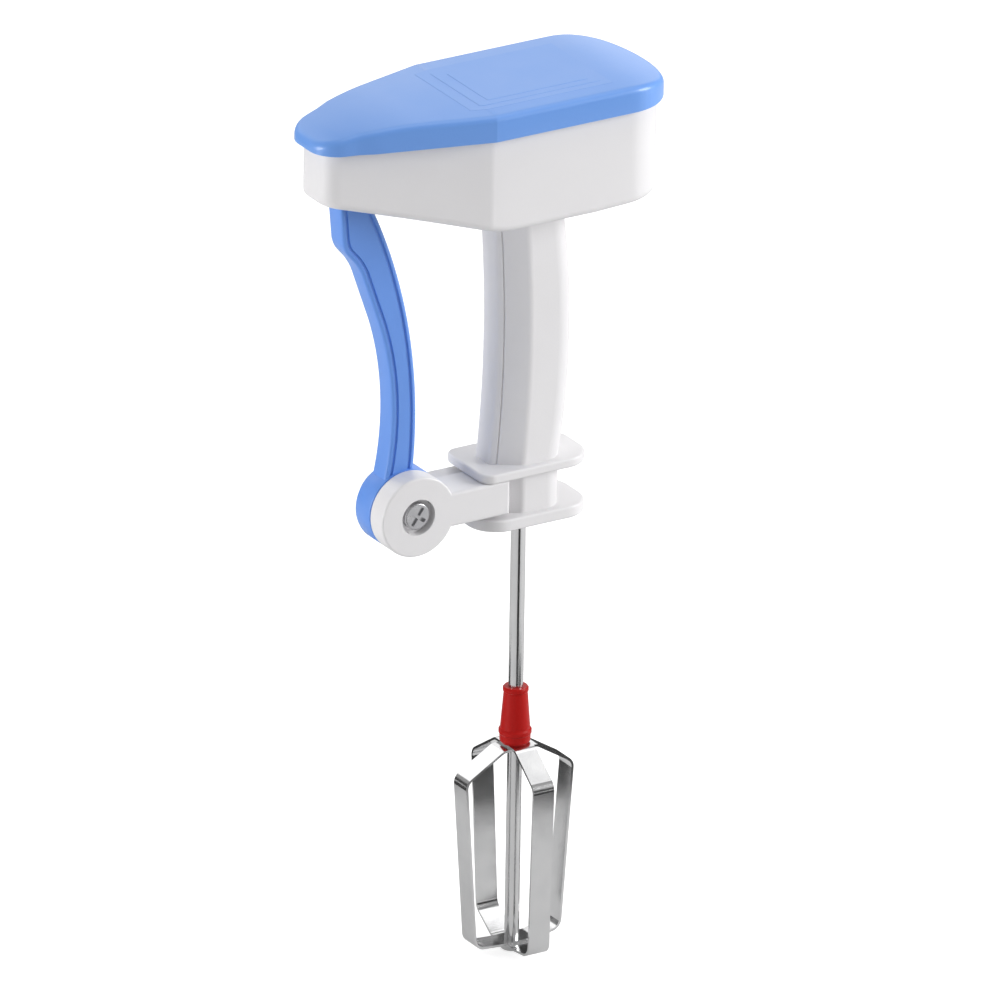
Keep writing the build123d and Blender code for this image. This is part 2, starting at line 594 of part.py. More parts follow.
def make_handle():
    shell = bowed(0) - front_of_grip(0)
    hollow = bowed(HANDLE_WALL) - front_of_grip(HANDLE_WALL)
    top_z, low_z = FLOOR_Z, GRIP_BOTTOM_Z
    bosses = Part() + [
        cylinder_z(SCREW_DIAMETER / 2 + BOSS_WALL, top_z - SCREW_BITE - 3, top_z, x, y)
        for x, y in CASE_SCREWS
    ]
    bosses += [
        cylinder_z(SCREW_DIAMETER / 2 + BOSS_WALL, low_z, low_z + SCREW_BITE + 3, x, 0)
        for x in BRACKET_SCREW_XS
    ]
    shell = (shell - hollow) + ((bosses & bowed(0)) - front_of_grip(0))
    for x, y in CASE_SCREWS:
        shell -= cylinder_z(SCREW_DIAMETER / 2, top_z - SCREW_BITE, top_z + 1, x, y)
    for x in BRACKET_SCREW_XS:
        shell -= cylinder_z(SCREW_DIAMETER / 2, low_z - 1, low_z + SCREW_BITE, x, 0)
    return shell


def make_front_strip():
    """Narrow strip down the front of the grip, with eased edges beside its seam."""
    strip = bowed(0) & front_of_grip(0)
    back_x = HANDLE_NOSE_X + STRIP_DEPTH
    uprights = [e for e in strip.edges() if e.length > HANDLE_LENGTH / 2]
    return chamfer([e for e in uprights if abs((e @ 0).X - back_x) < 0.05], STRIP_EDGE)


# ================================================================ bracket
BRACKET_LOW_Z = GRIP_BOTTOM_Z - BRACKET_HEIGHT
BRACKET_SCREW_XS = (-9.0, 8.9)
NEAR_IN_Y = -EYE_THICK / 2 - CHEEK_GAP
NEAR_OUT_Y = NEAR_IN_Y - NEAR_CHEEK
FAR_IN_Y = EYE_THICK / 2 + CHEEK_GAP
FAR_OUT_Y = FAR_IN_Y + FAR_CHEEK


def flange(front_radius, z_low, z_high):
    plan = make_face(Polyline([
        (FLANGE_FRONT_X, -FLANGE_HALF), (FLANGE_REAR_X, -FLANGE_HALF),
        (FLANGE_REAR_X, FLANGE_HALF), (FLANGE_FRONT_X, FLANGE_HALF),
    ], close=True))
    plan = fillet(corners_near(plan, FLANGE_FRONT_X, FLANGE_HALF), front_radius)
    plan = fillet(corners_near(plan, FLANGE_REAR_X, FLANGE_HALF), 10.5)
    return fillet(prism(plan, z_low, z_high).edges().filter_by(Plane.XY), 0.8)


def make_bracket():
    """Bobbin under the grip, with the arm and the two cheeks of the lever's pivot."""
    neck = prism(handle_plan(0), BRACKET_LOW_Z + 1, GRIP_BOTTOM_Z - 1)
    body = neck + flange(5.0, GRIP_BOTTOM_Z - UPPER_FLANGE, GRIP_BOTTOM_Z)
    body += flange(11.0, BRACKET_LOW_Z, BRACKET_LOW_Z + LOWER_FLANGE)

    arm_low, arm_high = PIVOT_Z - ARM_HEIGHT / 2, PIVOT_Z + ARM_HEIGHT / 2
    arm = block(PIVOT_X, ARM_END_X, NEAR_OUT_Y, ARM_FAR_HALF, arm_low, arm_high)
    near_end = arm.faces().sort_by(Axis.X)[-1].edges().sort_by(Axis.Y)[0]
    arm = fillet(arm.edges().filter_by(Axis.X) + [near_end], ARM_EDGE)
    rail = block(PIVOT_X, HANDLE_SHOULDER_X, 0, FAR_OUT_Y, arm_low + 2, arm_high - 2)
    near = fillet(cylinder_y(EYE_RADIUS, NEAR_OUT_Y, NEAR_IN_Y, PIVOT_X, PIVOT_Z).edges(), 0.8)
    far = cylinder_y(FAR_CHEEK_RADIUS, FAR_IN_Y, FAR_OUT_Y, PIVOT_X, PIVOT_Z)
    body += arm + rail + near + far

    reach = EYE_RADIUS + 1.0
    body -= cylinder_y(reach, NEAR_IN_Y, FAR_IN_Y, PIVOT_X, PIVOT_Z)
    body -= cylinder_y(PIVOT_DIAMETER / 2, -BIG, BIG, PIVOT_X, PIVOT_Z)
    recess_end = NEAR_OUT_Y + PIVOT_RECESS
    body -= cylinder_y(PIVOT_RECESS_DIAMETER / 2, NEAR_OUT_Y - 1, recess_end, PIVOT_X, PIVOT_Z)
    body -= nut_solid(0.0)
    tang_end = NEAR_IN_Y - SPRING_TANG - 0.3
    body -= cylinder_y(SPRING_WIRE / 2, tang_end, 0, PIVOT_X + SPRING_RADIUS, PIVOT_Z)

    body -= cylinder_z(BUSH_RADIUS, BRACKET_LOW_Z - 1, BRACKET_LOW_Z + 9)
    body -= cylinder_z(SHAFT_DIAMETER / 2 + 1.0, BRACKET_LOW_Z, GRIP_BOTTOM_Z + 1)
    for x in BRACKET_SCREW_XS:
        body -= cylinder_z(SCREW_DIAMETER / 2, BRACKET_LOW_Z - 1, GRIP_BOTTOM_Z + 1, x)
        body -= cylinder_z(SCREW_HEAD_DIAMETER / 2 + 0.3, BRACKET_LOW_Z - 1, BRACKET_LOW_Z + 3, x)
    return body


def nut_solid(bore):
    """The pivot's nut, let into the far cheek flush with its face."""
    hexagon = extrude(RegularPolygon(NUT_FLATS / 2, 6, major_radius=False), NUT_HEIGHT)
    nut = Pos(PIVOT_X, FAR_OUT_Y - NUT_HEIGHT, PIVOT_Z) * Rot(-90, 0, 0) * hexagon
    if bore:
        nut -= cylinder_y(bore, -BIG, BIG, PIVOT_X, PIVOT_Z)
    return nut


def make_pivot_screw():
    head_low = NEAR_OUT_Y + PIVOT_RECESS - PIVOT_HEAD_HEIGHT
    head = cylinder_y(PIVOT_HEAD_DIAMETER / 2, head_low, head_low + PIVOT_HEAD_HEIGHT, PIVOT_X, PIVOT_Z)
    head = fillet(head.faces().sort_by(Axis.Y)[0].edges(), 0.6)
    shank = cylinder_y(PIVOT_DIAMETER / 2, head_low, FAR_OUT_Y, PIVOT_X, PIVOT_Z)
    long_slot = Box(7.4, 2.4, 1.3)
    cross = Pos(PIVOT_X, head_low, PIVOT_Z) * Rot(0, 35, 0) * (long_slot + Rot(0, 90, 0) * long_slot)
    return (head + shank) - cross


# ================================================================ lever
def lean_out(u, v):
    """A point u along the lever and v towards the grip, at rest; returned as (x, z)."""
    lean = radians(LEVER_LEAN)
    x = PIVOT_X - u * sin(lean) + v * cos(lean)
    z = PIVOT_Z + u * cos(lean) + v * sin(lean)
    return (x, 0, z)


def make_lever():
    top_u = DRIVE_RADIUS - TONGUE_DEPTH / 2
    mid_u = DRIVE_RADIUS / 2
    low_u = EYE_RADIUS * 0.6
    half, stop_half = LEVER_DEPTH / 2, LEVER_TOP_DEPTH / 2
    outer_low = ThreePointArc(
        lean_out(low_u, -half - LEVER_FOOT_FLARE),
        lean_out(mid_u * 0.85, LEVER_BOW - half - 0.4),
        lean_out(STOP_HEIGHT, -1.2),
    )
    stop = Polyline(
        outer_low @ 1, lean_out(STOP_HEIGHT + 9, -stop_half), lean_out(top_u, -stop_half),
        lean_out(top_u, half - 0.8),
    )
    inner = ThreePointArc(
        lean_out(top_u, half - 0.8), lean_out(mid_u, LEVER_BOW + half), lean_out(low_u, half)
    )
    outline = make_face([outer_low, *stop.edges(), inner, Line(inner @ 1, outer_low @ 0)])
    blade = extrude(outline, LEVER_THICK / 2, dir=(0, 1, 0), both=True)
    blade = fillet(blade.edges().filter_by(GeomType.CIRCLE), 1.4)
    end_u = DRIVE_RADIUS + TONGUE_DEPTH / 2
    corners = [
        lean_out(top_u - 4, -TONGUE_DEPTH / 2), lean_out(end_u, -TONGUE_DEPTH / 2),
        lean_out(end_u, TONGUE_DEPTH / 2), lean_out(top_u - 4, TONGUE_DEPTH / 2),
    ]
    tongue_side = make_face(Polyline(corners, close=True))
    tongue = extrude(tongue_side, TONGUE_THICK / 2, dir=(0, 1, 0), both=True)
    eye = fillet(cylinder_y(EYE_RADIUS, -EYE_THICK / 2, EYE_THICK / 2, PIVOT_X, PIVOT_Z).edges(), 0.8)
    lever = blade + tongue + eye

    pocket_depth = SPRING_TURNS * SPRING_PITCH + SPRING_WIRE + 0.4
    pocket_end = -EYE_THICK / 2 + pocket_depth
    pocket = cylinder_y(SPRING_POCKET_RADIUS, -EYE_THICK, pocket_end, PIVOT_X, PIVOT_Z)
    pocket -= cylinder_y(SPRING_CORE_RADIUS, -EYE_THICK, pocket_end + 1, PIVOT_X, PIVOT_Z)
    lever -= pocket
    lever -= cylinder_y(SPRING_WIRE / 2, 0, pocket_end + 1.5, PIVOT_X + SPRING_RADIUS, PIVOT_Z)
    lever -= cylinder_y(LEVER_BUSH_DIAMETER / 2, -EYE_THICK, EYE_THICK, PIVOT_X, PIVOT_Z)
    lever -= cylinder_y(PIN_DIAMETER / 2, -EYE_THICK, EYE_THICK, PIN_X, PIN_Z)
    return lever


def make_lever_bush():
    half = EYE_THICK / 2 - 0.1
    bush = cylinder_y(LEVER_BUSH_DIAMETER / 2, -half, half, PIVOT_X, PIVOT_Z)
    return bush - cylinder_y(PIVOT_DIAMETER / 2 + RUNNING_FIT, -EYE_THICK, EYE_THICK, PIVOT_X, PIVOT_Z)


def make_drive_pin():
    """Steel pin through the lever's tongue; its long end works in the rack's slot."""
    far_end = RACK_FRONT_Y + RACK_FORK_THICK - 0.3
    return cylinder_y(PIN_DIAMETER / 2, -TONGUE_THICK / 2, far_end, PIN_X, PIN_Z)


def make_spring():
    """Torsion spring round the pivot, with one tang in the bracket and one in the lever."""
    height = SPRING_TURNS * SPRING_PITCH
    wire_half = SPRING_WIRE / 2
    coil_path = Helix(SPRING_PITCH, height, SPRING_RADIUS)
    start_plane = Plane(origin=coil_path @ 0, z_dir=coil_path % 0)
    coil = sweep(start_plane * Circle(wire_half), path=coil_path)
    spring = coil
    for z_low, z_high in ((-SPRING_TANG - 0.9, 0), (height, height + 1.6)):
        corner = 0 if z_low < 0 else height
        spring += Pos(SPRING_RADIUS, 0, corner) * Sphere(wire_half)
        spring += cylinder_z(wire_half * 0.95, z_low, z_high, SPRING_RADIUS)
    start_y = -EYE_THICK / 2 + wire_half + 0.1
    return Pos(PIVOT_X, start_y, PIVOT_Z) * Rot(-90, 0, 0) * spring


# ================================================================ whisk
COUPLER_TOP_Z = GRIP_BOTTOM_Z - COUPLER_TOP_DROP
COUPLER_LOW_Z = COUPLER_TOP_Z - COUPLER_LENGTH
LOOP_LOW_Z = SHAFT_LOW_Z + END_NUT_HEIGHT - 1.0


def make_coupler():
    """Coloured sleeve that clamps the loops to the shaft, with a rim and a finger ridge."""
    top, low = COUPLER_TOP_Z, COUPLER_LOW_Z
    r_top, r_low = COUPLER_TOP_RADIUS, COUPLER_LOW_RADIUS
    bore = SHAFT_DIAMETER / 2
    profile = [
        (bore, top), (r_top - 0.4, top), (r_top, top - 0.5), (r_top, top - 1.6),
        (r_top - 0.3, top - 2.0), (r_low - 0.2, low + 5.6), (r_low + 0.3, low + 5.0),
        (r_low + 0.3, low + 3.8), (r_low, low + 3.3), (r_low - 0.1, low + 0.9),
        (r_low - 0.7, low), (bore, low),
    ]
    face = make_face(Polyline([(r, 0, z) for r, z in profile], close=True))
    return revolve(face, Axis.Z, 360)


def make_leg(shoulder_r, foot_r, foot_rise, level):
    """Half of a bent band, on the +X side, from the coupler to the shaft's lower end."""
    half_thick = BAND_THICK / 2
    top = COUPLER_LOW_Z - half_thick - level * BAND_THICK
    low = LOOP_LOW_Z + half_thick + level * BAND_THICK
    path = FilletPolyline(
        (0, 0, top),
        (WHISK_FLAT_R, 0, top),
        (shoulder_r - half_thick, 0, COUPLER_LOW_Z - WHISK_SHOULDER_DROP),
        (foot_r - half_thick, 0, LOOP_LOW_Z + foot_rise + half_thick),
        (WHISK_FLAT_R, 0, low),
        (0, 0, low),
        radius=WHISK_BEND,
    )
    start = Plane(origin=(0, 0, top), x_dir=(0, 1, 0), z_dir=(1, 0, 0))
    return sweep(start * Rectangle(BAND_WIDTH, BAND_THICK), path=path)


def make_loop(legs, level, turn):
    """One bent band: flat at top and bottom, where it is threaded on the shaft."""
    loop = make_leg(*legs[0], level) + mirror(make_leg(*legs[1], level), Plane.YZ)
    loop -= cylinder_z(SHAFT_DIAMETER / 2, SHAFT_LOW_Z - 5, COUPLER_TOP_Z)
    return Rot(0, 0, turn) * loop


def make_end_nut():
    """Domed nut on the shaft's lower end."""
    nut = cylinder_z(END_NUT_RADIUS, SHAFT_LOW_Z - 1.0, LOOP_LOW_Z)
    nut = fillet(nut.faces().sort_by(Axis.Z)[0].edges(), 1.0)
    return nut - cylinder_z(SHAFT_DIAMETER / 2, SHAFT_LOW_Z, BIG)


# ================================================================ write every node
save(make_lid(), "lid")
save(make_gear_case(), "gear_case")
save(make_gear_plate(), "gear_plate")
save(make_axle(TOP_AXLE_X), "gear_axle_1")
save(make_axle(LOW_AXLE_X), "gear_axle_2")
save(make_rack(), "rack")
save(make_top_gear(), "gear_1")
save(make_low_gear(), "gear_2")
save(make_output_pinion(), "output_pinion")
save(make_shaft(), "whisk_shaft")
save(make_clip(), "shaft_clip")
save(make_collar(), "thrust_collar")
save(make_upper_bush(), "upper_bush")
save(make_lower_bush(), "lower_bush")
save(make_handle(), "handle_shell")
save(make_front_strip(), "handle_front_strip")
save(make_bracket(), "hinge_bracket")
save(make_pivot_screw(), "pivot_screw")
save(nut_solid(PIVOT_DIAMETER / 2), "pivot_nut")
save(make_lever(), "squeeze_lever")
save(make_lever_bush(), "lever_bush")
save(make_drive_pin(), "drive_pin")
save(make_spring(), "return_spring")
save(make_coupler(), "whisk_coupler")
save(make_loop(OUTER_LEGS, 0, 90), "whisk_loop_outer")
save(make_loop(INNER_LEGS, 1, 180), "whisk_loop_inner")
save(make_end_nut(), "whisk_end_nut")

plate_screws = [screw_z(x, y, PLATE_Z + PLATE_THICK, SCREW_BITE) for x, y in PLATE_POSTS]
save(Compound(children=plate_screws), "plate_screws")
case_screws = [screw_z(x, y, FLOOR_TOP_Z, SCREW_BITE + FLOOR_WALL - 1) for x, y in CASE_SCREWS]
save(Compound(children=case_screws), "case_screws")
bracket_length = BRACKET_HEIGHT - 3 + SCREW_BITE - 1
bracket_screws = [screw_z(x, 0, BRACKET_LOW_Z + 3, bracket_length, -1) for x in BRACKET_SCREW_XS]
save(Compound(children=bracket_screws), "bracket_screws")
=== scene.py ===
# %% [markdown]
# # A hand blender driven by a squeeze lever
# The imported CAD model is loaded first as a fixed frame; every piece made below
# rides on a body of its own.  The box of the bare CAD model is kept, and the floor
# is laid just under it.

# %% Load the frame
import math

import bmesh
import bpy
from mathutils import Matrix, Vector


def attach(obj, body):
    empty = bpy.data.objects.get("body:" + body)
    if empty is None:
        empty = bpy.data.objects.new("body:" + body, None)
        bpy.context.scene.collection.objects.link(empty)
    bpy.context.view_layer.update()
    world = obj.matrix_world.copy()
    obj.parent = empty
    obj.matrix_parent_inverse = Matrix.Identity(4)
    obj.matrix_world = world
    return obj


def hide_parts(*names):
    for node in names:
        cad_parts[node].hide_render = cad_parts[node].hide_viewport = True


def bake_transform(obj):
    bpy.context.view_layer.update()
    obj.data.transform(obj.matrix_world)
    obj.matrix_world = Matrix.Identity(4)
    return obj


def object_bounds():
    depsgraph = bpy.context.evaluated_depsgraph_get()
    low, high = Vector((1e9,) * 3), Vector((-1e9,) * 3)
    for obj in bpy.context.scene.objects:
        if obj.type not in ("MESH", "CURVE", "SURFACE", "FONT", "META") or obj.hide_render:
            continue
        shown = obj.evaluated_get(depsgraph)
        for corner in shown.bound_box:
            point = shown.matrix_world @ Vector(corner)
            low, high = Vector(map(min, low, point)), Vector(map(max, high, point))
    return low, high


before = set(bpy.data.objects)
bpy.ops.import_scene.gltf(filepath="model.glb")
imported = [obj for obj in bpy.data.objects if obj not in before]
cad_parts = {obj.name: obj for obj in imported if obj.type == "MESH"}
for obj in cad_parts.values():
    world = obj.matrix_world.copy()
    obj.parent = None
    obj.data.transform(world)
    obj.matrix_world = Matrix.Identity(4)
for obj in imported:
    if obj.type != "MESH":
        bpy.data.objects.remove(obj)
cad_low, cad_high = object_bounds()

# %% [markdown]
# ## The camera
# A very long lens from far away keeps parallel edges almost parallel.  The camera
# stands 31.5 degrees to the left of the front, 23 degrees above, and is rolled by
# one degree.  The point it aims at is found from where the shaft crosses the frame.

# %% Place the camera
AZIMUTH, ELEVATION, ROLL = map(math.radians, (-31.5, 23.0, 0.93))
LENS_MM, SENSOR_MM = 1200.0, 36.0
SHOWN_WIDTH = 1.0 / 2.835    # metres across the frame, at the object

away = math.cos(ELEVATION)
back = Vector((math.sin(AZIMUTH) * away, -math.cos(AZIMUTH) * away, math.sin(ELEVATION)))
level = Vector((math.cos(AZIMUTH), math.sin(AZIMUTH), 0.0))
upright = back.cross(level)
cam_right = level * math.cos(ROLL) + upright * math.sin(ROLL)
cam_up = upright * math.cos(ROLL) - level * math.sin(ROLL)
aim = Vector((0.0, 0.0, -0.060)) - cam_right * 0.00677 - cam_up * 0.0079
distance = SHOWN_WIDTH * LENS_MM / SENSOR_MM
camera = bpy.data.objects.new("camera", bpy.data.cameras.new("camera"))
camera.data.lens, camera.data.sensor_width = LENS_MM, SENSOR_MM
camera.data.clip_start, camera.data.clip_end = 0.1, 100.0
facing = Matrix((cam_right, cam_up, back)).transposed().to_4x4()
camera.matrix_world = Matrix.Translation(aim + back * distance) @ facing
bpy.context.collection.objects.link(camera)
bpy.context.scene.camera = camera
print("camera distance", round(distance, 2), "m")

# %% [markdown]
# ## The studio
# White plastic needs a bright room with large soft lamps, or its sides turn grey.  The
# key lamp stands to the right of the camera, one lamp hangs overhead, a small one
# reaches the nose from the left, and two behind the object give the lid its sheen and
# the sloping tops of the steel loops their white.

# %% Lamps and room
def aim_at(obj, target):
    obj.rotation_mode = "QUATERNION"
    obj.rotation_quaternion = (Vector(target) - obj.location).to_track_quat("-Z", "Y")


def soft_lamp(name, place, target, size, watts):
    lamp = bpy.data.lights.new(name, "AREA")
    lamp.shape, lamp.size, lamp.energy = "DISK", size, watts
    holder = bpy.data.objects.new(name, lamp)
    holder.location = place
    bpy.context.collection.objects.link(holder)
    aim_at(holder, target)
    holder.visible_camera = False


middle = Vector((0.0, 0.0, -0.05))
soft_lamp("lamp_key", (1.19, -0.80, 0.44), middle, 0.80, 19.0)
soft_lamp("lamp_top", (0.30, 0.00, 1.40), middle, 1.30, 6.0)
soft_lamp("lamp_left", (-1.38, 0.14, 0.10), middle, 0.60, 10.5)
mirror_way = Vector((-back.x, -back.y, back.z))
soft_lamp("lamp_sheen", middle + mirror_way * 1.7, middle, 1.50, 5.0)
soft_lamp("lamp_back", middle + Vector((-0.154, 0.785, 0.597)) * 1.7, middle, 1.00, 3.0)

world = bpy.data.worlds.new("studio")
bpy.context.scene.world = world
world.use_nodes = True
room = world.node_tree.nodes["Background"].inputs
room["Color"].default_value, room["Strength"].default_value = (1.0, 1.0, 1.0, 1.0), 0.40
bpy.context.scene.view_settings.view_transform = "Standard"
print("lamps:", len(bpy.data.lights))

# %% [markdown]
# ## Floor and cards
# The floor lies just under the lowest point.  It is pale grey, so that it throws only
# a little light back on the object, and it glows to the camera, so that the picture's
# ground is white.  Polished steel only looks like steel when it has something dark to
# reflect.  Photographers stand black cards close to it, and here too, seen in
# reflections alone.  The one in front makes the dark line down the shaft, the low ones
# darken the inner faces of the loops, and two far ones the bends of their shoulders.

# %% Lay the floor and stand the cards
def stage_plane(name, width, height, material, place):
    """A flat sheet for the set, drawn flat and then moved by the matrix place."""
    bm = bmesh.new()
    bmesh.ops.create_grid(bm, x_segments=1, y_segments=1, size=0.5)
    bmesh.ops.scale(bm, verts=bm.verts[:], vec=(width, height, 1.0))
    bmesh.ops.transform(bm, verts=bm.verts[:], matrix=place)
    mesh = bpy.data.meshes.new(name)
    bm.to_mesh(mesh)
    bm.free()
    plane = bpy.data.objects.new(name, mesh)
    bpy.context.collection.objects.link(plane)
    mesh.materials.append(material)
    return plane


def stage_material(name, grey, glow, sheen=0.0):
    """A matt material that glows with one strength to the camera and another in reflections."""
    material = bpy.data.materials.new(name)
    material.use_nodes = True
    shader = material.node_tree.nodes["Principled BSDF"]
    shader.inputs["Base Color"].default_value = (grey, grey, grey, 1.0)
    shader.inputs["Roughness"].default_value = 0.8
    shader.inputs["Emission Color"].default_value = (1.0, 1.0, 1.0, 1.0)
    nodes, link = material.node_tree.nodes, material.node_tree.links.new
    ray = nodes.new("ShaderNodeLightPath")
    to_camera, strength = nodes.new("ShaderNodeMath"), nodes.new("ShaderNodeMath")
    to_camera.operation, strength.operation = "MULTIPLY", "MULTIPLY_ADD"
    to_camera.inputs[1].default_value, strength.inputs[1].default_value = glow, sheen
    link(ray.outputs["Is Camera Ray"], to_camera.inputs[0])
    link(ray.outputs["Is Glossy Ray"], strength.inputs[0])
    link(to_camera.outputs[0], strength.inputs[2])
    link(strength.outputs[0], shader.inputs["Emission Strength"])
    return material


FLOOR_GAP = 0.0005
floor_z = cad_low.z - FLOOR_GAP
pale_floor = stage_material("pale_floor", 0.55, 0.70, sheen=0.13)
stage_plane("floor", 6.0, 6.0, pale_floor, Matrix.Translation((0, 0, floor_z)))
black_card = stage_material("black_card", 0.02, 0.0)
STANDING = Matrix.Rotation(math.radians(90), 4, "X")
SIDE_TURN = math.radians(31.5)
for name, turn, reach, width, tall in (
    ("card_front", AZIMUTH + 0.33, 0.20, 0.12, 0.12),
    ("card_back", AZIMUTH + math.pi, 0.15, 0.16, 0.09),
    ("card_right", SIDE_TURN, 0.145, 0.12, 0.050),
    ("card_left", SIDE_TURN + math.pi, 0.145, 0.12, 0.050),
    ("card_far_right", SIDE_TURN, 1.0, 0.50, 0.30),
    ("card_far_left", SIDE_TURN + math.pi, 1.0, 0.50, 0.30),
):
    stand = Matrix.Rotation(turn, 4, "Z") @ Matrix.Translation((0, -reach, floor_z + tall / 2)) @ STANDING
    card = stage_plane(name, width, tall, black_card, stand)
    card.visible_camera = card.visible_diffuse = card.visible_shadow = card.visible_transmission = False
print("floor at", round(floor_z * 1000, 1), "mm")

# %% [markdown]
# ## Tools of the workshop
# Pieces are drawn in millimetres, as on the maker's drawing, and brought to metres
# when they are finished.  Finishing a piece also welds its doubles, turns its faces
# outwards, smooths it except at true edges, and lets it ride on its body.  A piece
# that spans two bodies is given no body.

# %% Finish a piece
def finish_piece(bm, name, body, material, replaces=(), sharp=32.0):
    bmesh.ops.remove_doubles(bm, verts=bm.verts[:], dist=1e-4)
    bmesh.ops.recalc_face_normals(bm, faces=bm.faces[:])
    bmesh.ops.scale(bm, verts=bm.verts[:], vec=(0.001, 0.001, 0.001))
    mesh = bpy.data.meshes.new(name)
    bm.to_mesh(mesh)
    bm.free()
    mesh.shade_smooth()
    mesh.set_sharp_from_angle(angle=math.radians(sharp))
    obj = bpy.data.objects.new(name, mesh)
    bpy.context.collection.objects.link(obj)
    mesh.materials.append(material)
    if body:
        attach(obj, body)
    if replaces:
        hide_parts(*replaces)
    print(name, len(mesh.polygons), "faces")
    return obj


# %% [markdown]
# ## One outline for head and grip
# Seen from above, head and grip have the same pear shape: a narrow rounded nose,
# sides that spread to a shoulder, parallel sides, and a bowed rear.  The rear is
# three arcs, and an arc is made by spinning one vertex.  The corners of the nose and
# shoulders are then rounded by bevelling their vertices.

# %% Draw a pear-shaped plan
def turn_about(start, centre, angle, steps, bm):
    """Spins the vertex start about a centre in plan, and returns the last new vertex."""
    last = bmesh.ops.spin(
        bm, geom=[start], cent=(centre[0], centre[1], start.co.z), axis=(0, 0, -1), angle=angle, steps=steps,
        dvec=(0, 0, 0), use_merge=False, use_duplicate=False,
    )["geom_last"]
    return [g for g in last if isinstance(g, bmesh.types.BMVert)][0]


def pear_plan(bm, z, nose, shoulder, half, rear, radii, hollow=0.0):
    """Adds a pear-shaped area of faces.  nose is (x, half width); rear is (x, bow radius, corner radius)."""
    others, wires = set(bm.faces), set(bm.edges)
    nose_x, nose_half = nose
    rear_x, bow, corner = rear
    bow_x, side_y = rear_x - bow, half - corner
    side_x = bow_x + math.sqrt((bow - corner) ** 2 - side_y**2)
    swing = math.atan2(side_y, side_x - bow_x)
    first = bm.verts.new((side_x, half, z))
    after_corner = turn_about(first, (side_x, side_y), math.pi / 2 - swing, 10, bm)
    after_bow = turn_about(after_corner, (bow_x, 0.0), 2 * swing, 10, bm)
    last = turn_about(after_bow, (side_x, -side_y), math.pi / 2 - swing, 10, bm)
    ends = [(shoulder, -half), (nose_x, -nose_half), (nose_x, nose_half), (shoulder, half)]
    four = [bm.verts.new((x, y, z)) for x, y in ends]
    for one, other in zip([last] + four, four + [first]):
        bm.edges.new((one, other))
    bmesh.ops.contextual_create(bm, geom=[e for e in bm.edges if e not in wires])
    taper = math.atan2(half - nose_half, shoulder - nose_x)
    nose_corners, shoulder_corners = four[1:3], (four[0], four[3])
    for verts, radius, bend in (
        (nose_corners, radii[0], math.pi / 2 - taper), (shoulder_corners, radii[1], taper),
    ):
        bmesh.ops.bevel(
            bm, geom=list(verts), offset=radius * math.tan(bend / 2), offset_type="OFFSET", segments=8,
            profile=0.5, affect="VERTICES", material=-1,
        )
    if hollow:
        drawn_face = [f for f in bm.faces if f not in others][0]
        slanted = [
            e for e in drawn_face.edges
            if e.calc_length() > 25 and abs(e.verts[0].co.y - e.verts[1].co.y) > 4
        ]
        bmesh.ops.subdivide_edges(bm, edges=slanted, cuts=9)
        span = shoulder - nose_x
        for v in [f for f in bm.faces if f not in others][0].verts:
            share = (v.co.x - nose_x) / span
            if 0.0 < share < 1.0:
                v.co.y -= math.copysign(4 * hollow * share * (1 - share), v.co.y)
    return [f for f in bm.faces if f not in others]


# %% [markdown]
# ## Rings and rods
# Turned pieces are drawn as half a profile and spun round once.

# %% Turn a profile on the lathe
def lathe(bm, profile, centre=(0, 0, 0), axis="Z", steps=48):
    """Spins (radius, height) points round an axis; points with radius 0 close the ends."""
    before = set(bm.verts)
    verts = [bm.verts.new((r, 0, h)) for r, h in profile]
    edges = [bm.edges.new(pair) for pair in zip(verts, verts[1:])]
    bmesh.ops.spin(
        bm, geom=verts + edges, cent=(0, 0, 0), axis=(0, 0, 1), angle=2 * math.pi, steps=steps,
        use_merge=True,
    )
    made = [v for v in bm.verts if v not in before]
    bmesh.ops.remove_doubles(bm, verts=made, dist=1e-4)
    made = [v for v in bm.verts if v not in before]
    if axis == "Y":
        bmesh.ops.rotate(bm, verts=made, cent=(0, 0, 0), matrix=Matrix.Rotation(math.radians(-90), 3, "X"))
    bmesh.ops.translate(bm, verts=made, vec=centre)

# %% [markdown]
# ## Finishes: what all plastics share
# Moulded plastic is never one flat colour.  Its skin has a fine grain, flow makes the
# tone drift a little over a few centimetres, and handling polishes some places and
# dulls others.  That is one node group, placed in each plastic with its own values.

# %% The moulded-skin group
def group_sockets(group, inputs, outputs):
    for name, kind, value in inputs:
        socket = group.interface.new_socket(name=name, in_out="INPUT", socket_type=kind)
        socket.default_value = value
    for name, kind in outputs:
        group.interface.new_socket(name=name, in_out="OUTPUT", socket_type=kind)


def add(tree, kind, x=0, y=0, **settings):
    node = tree.nodes.new(kind)
    node.location = (x, y)
    for key, value in settings.items():
        setattr(node, key, value)
    return node


moulded = bpy.data.node_groups.new("moulded_skin", "ShaderNodeTree")
group_sockets(
    moulded,
    [("Vector", "NodeSocketVector", (0, 0, 0)), ("Tone", "NodeSocketColor", (1, 1, 1, 1)),
     ("Deep Tone", "NodeSocketColor", (0, 0, 0, 1)), ("Drift", "NodeSocketFloat", 0.2),
     ("Roughness", "NodeSocketFloat", 0.35), ("Grain", "NodeSocketFloat", 0.03)],
    [("Color", "NodeSocketColor"), ("Roughness", "NodeSocketFloat"), ("Normal", "NodeSocketVector")],
)
inside, outside = add(moulded, "NodeGroupInput", -900), add(moulded, "NodeGroupOutput", 500)
link = moulded.links.new
flow = add(moulded, "ShaderNodeTexNoise", -600, 300)
flow.inputs["Scale"].default_value, flow.inputs["Detail"].default_value = 28.0, 3.0
link(inside.outputs["Vector"], flow.inputs["Vector"])
drift = add(moulded, "ShaderNodeMath", -400, 300, operation="MULTIPLY")
